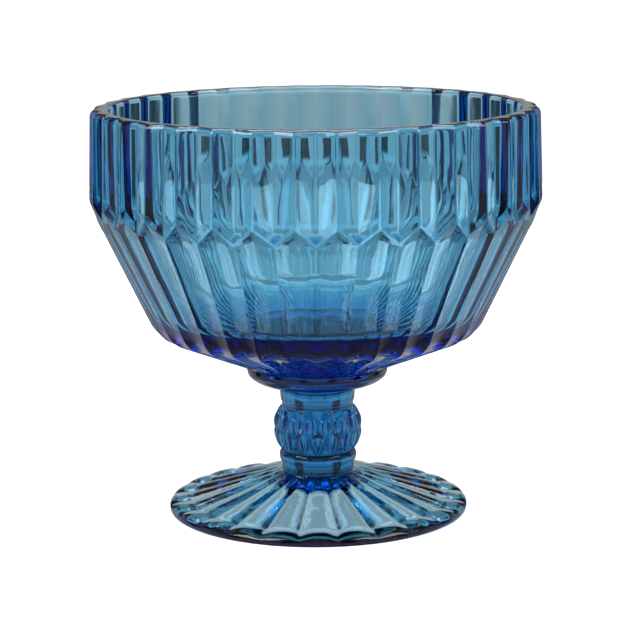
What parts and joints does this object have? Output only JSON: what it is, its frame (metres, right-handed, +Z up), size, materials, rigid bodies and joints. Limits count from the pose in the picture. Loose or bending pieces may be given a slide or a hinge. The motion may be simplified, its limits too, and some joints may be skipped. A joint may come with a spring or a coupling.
{
  "type": "footed glass",
  "caption": "Footed drinking and dessert glass with a ribbed, cone-bottomed bowl on a petalled knop and a gadrooned foot.",
  "frame": {"origin": "centre of the foot's resting face, on the table", "axes": "+Z up along the glass's axis, from the foot to the rim; -Y towards the front, which is like every other side"},
  "size_m": [0.1098, 0.1098, 0.1],
  "materials": {
    "blue_glass": "clear polished blue glass"
  },
  "bodies": {
    "root": {"bowl": "blue_glass", "button": "blue_glass", "upper_collar": "blue_glass", "knop": "blue_glass", "lower_collar": "blue_glass", "foot": "blue_glass"}
  },
  "joints": []
}
